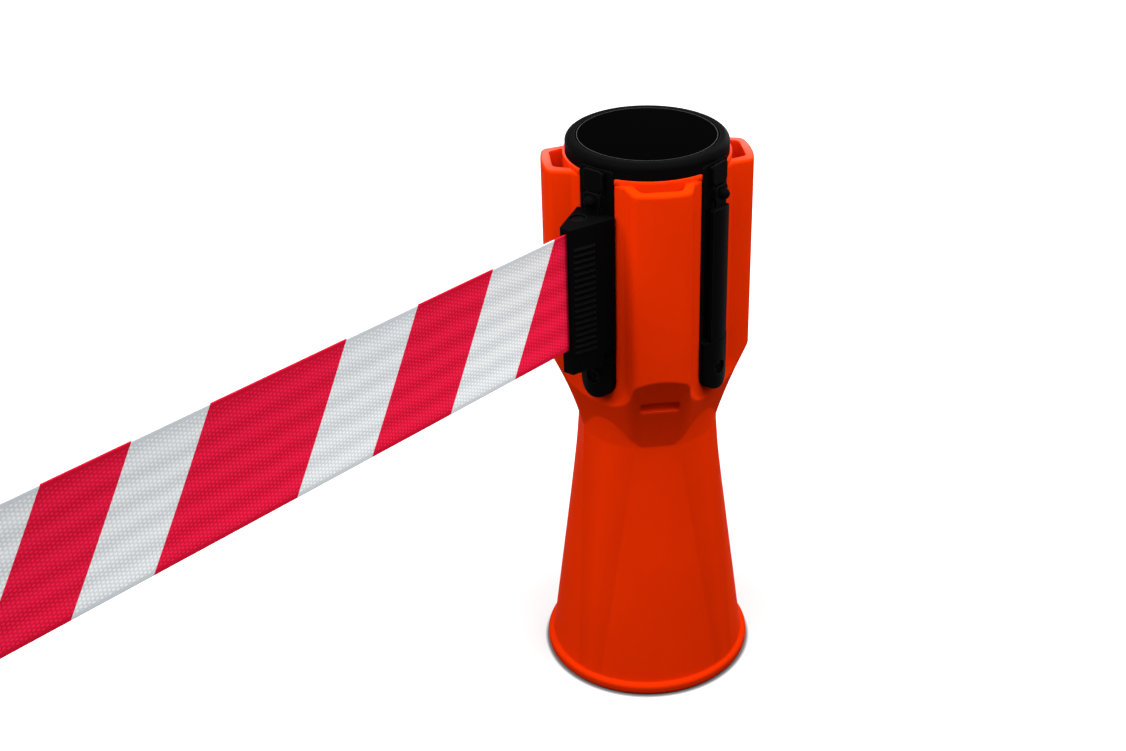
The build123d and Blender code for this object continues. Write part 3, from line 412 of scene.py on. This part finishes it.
def stripe_share(tree, along, down):
    """1 on a white stripe and 0 on a red one, for a place along the belt and down from its top edge."""
    slant = calc(tree, "ADD", calc(tree, "MULTIPLY", along, stripe_slant_growth), stripe_slant)
    shifted = calc(tree, "SUBTRACT", along, calc(tree, "MULTIPLY", slant, down))
    repeat = sum(stripe_widths)
    stripe_end = stripe_start + repeat
    turn = calc(tree, "WRAP", shifted, stripe_end, stripe_start)
    ramp = add_node(tree, "ShaderNodeValToRGB", {0: spread(tree, turn, stripe_start, stripe_end, 0.0, 1.0)})
    stops = ramp.color_ramp.elements
    ramp.color_ramp.interpolation = "CONSTANT"
    first_stops = len(stops)
    edge = 0.0
    for index, width in enumerate(stripe_widths):
        if index < first_stops:
            stop = stops[index]
            stop.position = edge / repeat
        else:
            stop = stops.new(edge / repeat)
        shade = index % 2
        stop.color = (shade, shade, shade, 1)
        edge += width
    return ramp.outputs[0]


def weave_height(tree, along, height):
    """Height of the staggered weave from 0 to 1, flat on the selvages."""
    ribs = calc(tree, "SINE", calc(tree, "MULTIPLY", along, math.tau / weave_along))
    picks = calc(tree, "SINE", calc(tree, "MULTIPLY", height, math.tau / weave_across))
    dots = calc(tree, "SQRT", calc(tree, "MAXIMUM", calc(tree, "MULTIPLY", ribs, picks), 0.0))
    columns = calc(tree, "SQRT", calc(tree, "ABSOLUTE", ribs))
    weave = calc(tree, "ADD", calc(tree, "MULTIPLY", columns, column_share),
                 calc(tree, "MULTIPLY", dots, 1 - column_share))
    off_middle = calc(tree, "ABSOLUTE", calc(tree, "SUBTRACT", height, belt_middle))
    from_edge = calc(tree, "SUBTRACT", belt_width / 2, off_middle)
    field = spread(tree, from_edge, selvage_width - selvage_blur, selvage_width + selvage_blur, 0.0, 1.0)
    return calc(tree, "MULTIPLY", weave, field)


def woven_belt(name):
    """Woven belt: slanting red and white stripes over a staggered weave, with smooth selvages."""
    made, tree, shader = new_material(name)
    place = object_place(tree)
    along = vector_calc(tree, "DOT_PRODUCT", vector_calc(tree, "SUBTRACT", place, nose), belt_way)
    height = upward(tree, place)
    striped = stripe_share(tree, along, spread(tree, height, belt_high, belt_low, 0.0, 1.0))
    weave = weave_height(tree, along, height)
    band_turn = calc(tree, "ADD", calc(tree, "MULTIPLY", height, math.tau / weave_band),
                     calc(tree, "MULTIPLY", noise(tree, place, waver_scale), band_waver))
    band = calc(tree, "MULTIPLY", calc(tree, "SINE", band_turn), band_share)
    tone = spread(tree, calc(tree, "ADD", weave, band), 0.0, 1.0, 0.0, 1.0)
    red = mix_colour(tree, tone, belt_red_dark, belt_red)
    pale = mix_colour(tree, tone, belt_white_dark, belt_white)
    bump_inputs = {"Height": weave, "Distance": weave_depth, "Strength": weave_strength}
    set_inputs(tree, shader, {
        "Base Color": mix_colour(tree, striped, red, pale),
        "Roughness": belt_roughness,
        "Normal": add_node(tree, "ShaderNodeBump", bump_inputs).outputs[0],
        "Specular IOR Level": belt_specular,
    })
    return made


def mesh_piece(name, build):
    """Object whose mesh is filled by the given function."""
    mesh = bpy.data.meshes.new(name)
    shape = bmesh.new()
    build(shape)
    bmesh.ops.recalc_face_normals(shape, faces=shape.faces)
    shape.to_mesh(mesh)
    shape.free()
    mesh.shade_smooth()
    mesh.set_sharp_from_angle(angle=smooth_angle)
    made = bpy.data.objects.new(name, mesh)
    scene.collection.objects.link(made)
    return made


def swept_piece(name, rings):
    """Object with a skin through rings of points, closed at both ends."""
    def build(shape):
        rows = [[shape.verts.new(point) for point in ring] for ring in rings]
        count = len(rows[0])
        for first, second in zip(rows, rows[1:]):
            for index in range(count):
                after = (index + 1) % count
                shape.faces.new((first[index], first[after], second[after], second[index]))
        shape.faces.new(rows[0])
        shape.faces.new(reversed(rows[-1]))

    return mesh_piece(name, build)


def bearing(way):
    """Angle of a level way from the X axis."""
    return math.atan2(way.y, way.x)


def pointing(angle):
    """Level way at an angle from the X axis."""
    return Vector((math.cos(angle), math.sin(angle), 0))


def ribbon_section(thick):
    """Section of the belt: thickness offset and height, with round edges and raised selvages."""
    half = thick / 2
    side = [(half * tip_share, belt_low), (half, belt_low + half * tip_rise),
            (half, belt_low + selvage_width), (half * field_share, belt_low + selvage_width + selvage_step)]
    side += [(offset, belt_low + belt_high - height) for offset, height in reversed(side)]
    return side + [(-offset, height) for offset, height in reversed(side)]


def ribbon(name, path, thick):
    """Belt swept along points on the level, upright on its edge."""
    section = ribbon_section(thick)
    rings = []
    for index, point in enumerate(path):
        before = path[max(index - 1, 0)]
        after = path[min(index + 1, len(path) - 1)]
        way = (after - before).normalized()
        out = Vector((-way.y, way.x, 0))
        rings.append([point + out * offset + Vector((0, 0, height)) for offset, height in section])
    return swept_piece(name, rings)


def around(centre, arm, turn, steps):
    """Points on the level that swing an arm about a centre by an angle."""
    points = []
    for index in range(steps + 1):
        angle = turn * index / steps
        points.append(centre + Vector((arm.x * math.cos(angle) - arm.y * math.sin(angle),
                                       arm.x * math.sin(angle) + arm.y * math.cos(angle), 0)))
    return points


def straight(start, end):
    """Points from a start to an end, about one step apart."""
    count = max(1, round((end - start).length / run_step))
    return [start.lerp(end, index / count) for index in range(count + 1)]


def belt_path():
    """Belt from its roll, round the guide roller, out of the mouth and round the end clip's pin."""
    roller = Vector(joints["roller_spin"]["pos_m"])
    roller.z = 0
    low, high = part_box("mouth_roller")
    roller_wrap = (high.x - low.x) / 2 + belt_gap + belt_thick / 2
    roll_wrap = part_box("belt_roll")[1].x + belt_gap + belt_thick / 2
    lead_out = pointing(bearing(roller) - math.acos((roll_wrap + roller_wrap) / roller.length))
    lead_end = roller - lead_out * roller_wrap
    turn = math.remainder(bearing(belt_side) - bearing(-lead_out), math.tau)
    points = straight(lead_out * roll_wrap, lead_end)[:-1]
    points += around(roller, -lead_out * roller_wrap, turn, roller_steps)[:-1]
    low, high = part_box("end_clip_pin")
    pin = (low + high) / 2
    pin.z = 0
    pin_foot = nose + belt_way * (pin - nose).dot(belt_way)
    points += straight(roller + belt_side * roller_wrap, nose)[:-1]
    points += straight(nose, clip_nose)[:-1]
    points += straight(clip_nose, pin_foot)[:-1]
    arm = pin_foot - pin
    way_round = math.copysign(1.0, arm.cross(belt_way).z)
    return points + around(pin, arm, way_round * pin_wrap, pin_steps)


def make_belt():
    """Whole free belt, which pays out evenly between the mouth and the end clip."""
    path = belt_path()
    belt = ribbon("belt", path, belt_thick)
    belt.data.materials.append(woven_belt("woven_belt"))
    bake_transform(belt, "topper", "belt_end", start=nose, end=clip_nose)
    payout = belt.data.attributes["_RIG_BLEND"]
    for vertex, share in zip(belt.data.vertices, payout.data):
        share.value = min(1.0, max(0.0, (vertex.co - nose).dot(belt_way) / belt_free_length))
    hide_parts("belt_lead", "belt_run", "belt_tail")


def make_wound_belt():
    """Belt left on the spool, wound from the hub out to where the straight stretch leaves it."""
    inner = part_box("spool_hub")[1].x + wound_thick / 2
    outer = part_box("belt_roll")[1].x - wound_thick / 2
    turns = wound_length / (math.pi * (inner + outer))
    leave, following = belt_path()[:2]
    sense = math.copysign(1.0, leave.cross(following - leave).z)
    count = round(turns * wound_steps)
    points = []
    for index in range(count + 1):
        share = index / count
        angle = bearing(leave) - sense * math.tau * turns * (1 - share)
        points.append(pointing(angle) * (inner + (outer - inner) * share))
    roll = ribbon("wound_belt", points, wound_thick)
    roll.data.materials.append(woven_belt("wound_weave"))
    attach(roll, "spool")
    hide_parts("belt_roll")


def make_coil(side, way):
    """Coil spring behind one catch."""
    low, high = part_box(side + "_catch_spring")
    length = abs((high - low).dot(way))
    seat = (low + high) / 2 - way * length / 2
    half_wire = spring_wire / 2
    radius = (high.z - low.z) / 2 - half_wire
    across = Vector((-way.y, way.x, 0))
    steps = round(spring_turns * coil_steps)
    rings = []
    for index in range(steps + 1):
        share = index / steps
        turn = math.tau * spring_turns * share
        out = across * math.cos(turn) + Vector((0, 0, 1)) * math.sin(turn)
        centre = seat + way * (half_wire + (length - spring_wire) * share) + out * radius
        leans = [math.tau * place / wire_sides for place in range(wire_sides)]
        rings.append([centre + (out * math.cos(lean) + way * math.sin(lean)) * half_wire for lean in leans])
    coil = swept_piece(side + "_catch_coil", rings)
    coil.data.materials.append(materials["steel"])
    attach(coil, "topper")
    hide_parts(side + "_catch_spring")
    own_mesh(coil)


def softbox(name, place, aim, size, power):
    """Square soft lamp that faces a point."""
    lamp = bpy.data.lights.new(name, "AREA")
    lamp.shape = "SQUARE"
    lamp.size = size
    lamp.energy = power
    made = bpy.data.objects.new(name, lamp)
    made.location = place
    made.rotation_euler = (aim - made.location).to_track_quat("-Z", "Y").to_euler()
    made.visible_camera = False
    scene.collection.objects.link(made)


def seen_by_eye(tree):
    """1 for rays from the camera, or that reach it by a mirror or glass, and 0 for the rest."""
    path = add_node(tree, "ShaderNodeLightPath")
    seen = calc(tree, "MAXIMUM", path.outputs["Is Camera Ray"], path.outputs["Is Glossy Ray"])
    return calc(tree, "MAXIMUM", seen, path.outputs["Is Transmission Ray"])


def make_floor():
    """Wide pale floor, white to the eye, with the object's shadow close round its foot and a dark contact
    shadow ring painted just outside the foot.
    """
    corners = [(x * floor_half, y * floor_half, 0) for x, y in ((-1, -1), (1, -1), (1, 1), (-1, 1))]
    floor = mesh_piece("floor", lambda shape: shape.faces.new([shape.verts.new(place) for place in corners]))
    made, tree, shader = new_material("pale_floor")
    seen = seen_by_eye(tree)
    distance = vector_calc(tree, "LENGTH", object_place(tree))
    # Painted contact shadow: a dark ring without glow just round the foot
    contact = spread(tree, distance, *painted_shadow_reach, 0.0, 1.0)
    glow = calc(tree, "MULTIPLY", contact,
                spread(tree, distance, *shadow_reach, floor_glow_near, floor_glow_far))
    near = mix_colour(tree, contact, floor_painted_shadow, floor_pale)
    set_inputs(tree, shader, {
        "Base Color": mix_colour(tree, seen, floor_dim, near),
        "Roughness": floor_roughness,
        "Specular IOR Level": 0.0,
        "Emission Color": white,
        "Emission Strength": calc(tree, "MULTIPLY", seen, glow),
    })
    floor.data.materials.append(made)


def make_world():
    """Even soft light all round, with a white background."""
    world = bpy.data.worlds.new("studio")
    world.use_nodes = True
    tree = world.node_tree
    strength = spread(tree, seen_by_eye(tree), 0.0, 1.0, ambient, 1.0)
    set_inputs(tree, tree.nodes["Background"], {"Color": white, "Strength": strength})
    scene.world = world


def make_camera():
    """Camera at the photograph's place, with its off-centre framing."""
    made = bpy.data.cameras.new("photo_camera")
    made.sensor_width = sensor_width_mm
    made.lens = focal_length_px / photo_width * sensor_width_mm
    made.shift_x = (photo_width / 2 - optical_axis_px[0]) / photo_width
    made.shift_y = (optical_axis_px[1] - photo_height / 2) / photo_width
    made.clip_start = nearest_seen
    holder = bpy.data.objects.new("photo_camera", made)
    level = math.cos(camera_pitch)
    look = Vector((math.cos(camera_heading) * level, math.sin(camera_heading) * level,
                   -math.sin(camera_pitch)))
    holder.location = camera_place
    holder.rotation_euler = look.to_track_quat("-Z", "Y").to_euler()
    scene.collection.objects.link(holder)
    scene.camera = holder


materials = {
    "shell": moulded("moulded_orange", orange, orange_dark, orange_edge_highlight, roughness=0.46, grain_scale=1500.0,
                     grain_depth=0.00005, edge_radius=0.0016, specular=0.001,
                     painted_sheen=orange_painted_sheen, painted_shade=orange_painted_shade),
    "black": moulded("grained_black", black, black, black_edge_highlight, roughness=0.42, grain_scale=2600.0,
                     grain_depth=0.00004, edge_radius=0.0005, specular=0.003, edge_highlight_share=0.6),
    "disc": blank_disc(),
    "screw": turned_metal("black_steel", screw_black, screw_black_dark, roughness=0.42,
                          metallic=0.0, specular=0.01),
    "steel": turned_metal("plain_steel", steel, steel_dark, roughness=0.24),
    "bush": turned_metal("sintered_bronze", bronze, bronze_dark, roughness=0.38),
    "natural": moulded("natural_nylon", nylon, nylon_dark, nylon_edge_highlight, roughness=0.46, grain_scale=1800.0,
                       grain_depth=0.00004, edge_radius=0.0004, specular=0.4),
}
for node in nodes.values():
    slot = node.material_slots[0].material.name.split(".")[0]
    if slot in materials:
        node.material_slots[0].material = materials[slot]

make_belt()
make_wound_belt()
for side, way in catch_sides.items():
    make_coil(side, way)
make_floor()
make_world()
make_camera()
softbox("top", place=(-0.12, -0.10, 0.75), aim=belt_and_skirt, size=0.7, power=8.9)
softbox("left", place=(-0.62, 0.34, 0.70), aim=object_middle, size=0.7, power=6.1)
softbox("right", place=(0.15, -0.60, 0.75), aim=object_middle, size=0.7, power=4.5)
softbox("back", place=(0.78, 0.08, 0.42), aim=object_middle, size=0.5, power=3.6)

scene.view_settings.view_transform = "Standard"
